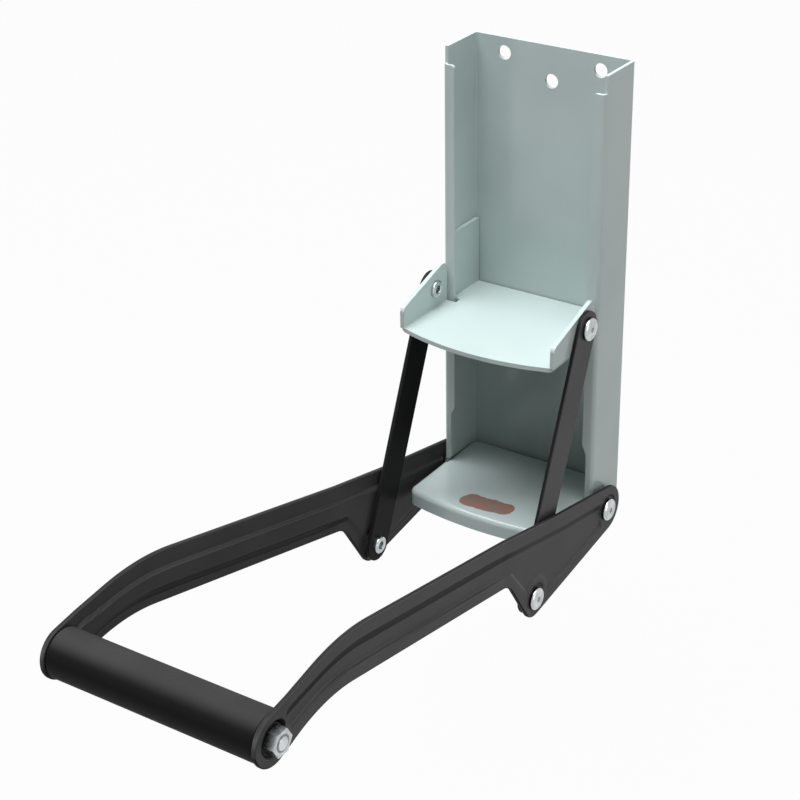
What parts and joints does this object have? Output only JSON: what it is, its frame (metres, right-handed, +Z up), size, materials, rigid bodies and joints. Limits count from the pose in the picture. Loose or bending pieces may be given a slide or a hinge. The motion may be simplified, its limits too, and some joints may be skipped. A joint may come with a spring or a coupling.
{
  "type": "lever can crusher",
  "caption": "Wall-mounted can crusher: a folded channel, a sliding ram, links and a two-armed lever with a grip that presses a can flat on a base plate.",
  "frame": {"origin": "on the back face of the channel, on its centre line, level with the top of the base plate", "axes": "+Y into the wall (normal of the back face), -Y out into the room, +X across, +Z up"},
  "size_m": [0.1088, 0.2937, 0.232],
  "materials": {
    "channel_finish": "satin",
    "plate_finish": "satin",
    "lever_finish": "satin",
    "rivet_finish": "satin",
    "grip_finish": "matte"
  },
  "bodies": {
    "wall_frame": {"channel_body": "channel_finish", "base_plate": "plate_finish", "pivot_rivet_left": "rivet_finish", "pivot_rivet_right": "rivet_finish", "pivot_bush_left": "rivet_finish", "pivot_bush_right": "rivet_finish"},
    "lever": {"lever_arm_left": "lever_finish", "lever_arm_right": "lever_finish", "lobe_rivet_left": "rivet_finish", "lobe_rivet_right": "rivet_finish", "lobe_washer_left": "rivet_finish", "lobe_washer_right": "rivet_finish", "grip_sleeve": "grip_finish", "grip_tube": "rivet_finish", "grip_washer_left": "rivet_finish", "grip_washer_right": "rivet_finish", "handle_bolt": "rivet_finish", "handle_nut": "rivet_finish", "handle_washer_left": "rivet_finish", "handle_washer_right": "rivet_finish"},
    "ram": {"crusher_ram": "plate_finish", "ram_rivet_left": "rivet_finish", "ram_rivet_right": "rivet_finish"},
    "links": {"link_left": "lever_finish", "link_right": "lever_finish", "lobe_rivet_tail_left": "rivet_finish", "lobe_rivet_tail_right": "rivet_finish"}
  },
  "joints": [
    {"name": "lever_hinge", "type": "hinge", "parent": "wall_frame", "child": "lever", "pos_m": [0, -0.0187, -0.0055], "axis": [-1, 0, 0], "range_deg": [-20, 78]},
    {"name": "ram_slide", "type": "slide", "parent": "wall_frame", "child": "ram", "axis": [0, 0, 1], "range_m": [-0.0218, 0.0846]},
    {"name": "link_hinge", "type": "hinge", "parent": "ram", "child": "links", "pos_m": [0, -0.0378, 0.0946], "axis": [-1, 0, 0], "range_deg": [-12.7, 3.4]}
  ],
  "couplings": [
    {"joint": "ram_slide", "follows": "lever_hinge", "m_per_rad": 0.062},
    {"joint": "link_hinge", "follows": "lever_hinge", "ratio": -0.16}
  ]
}
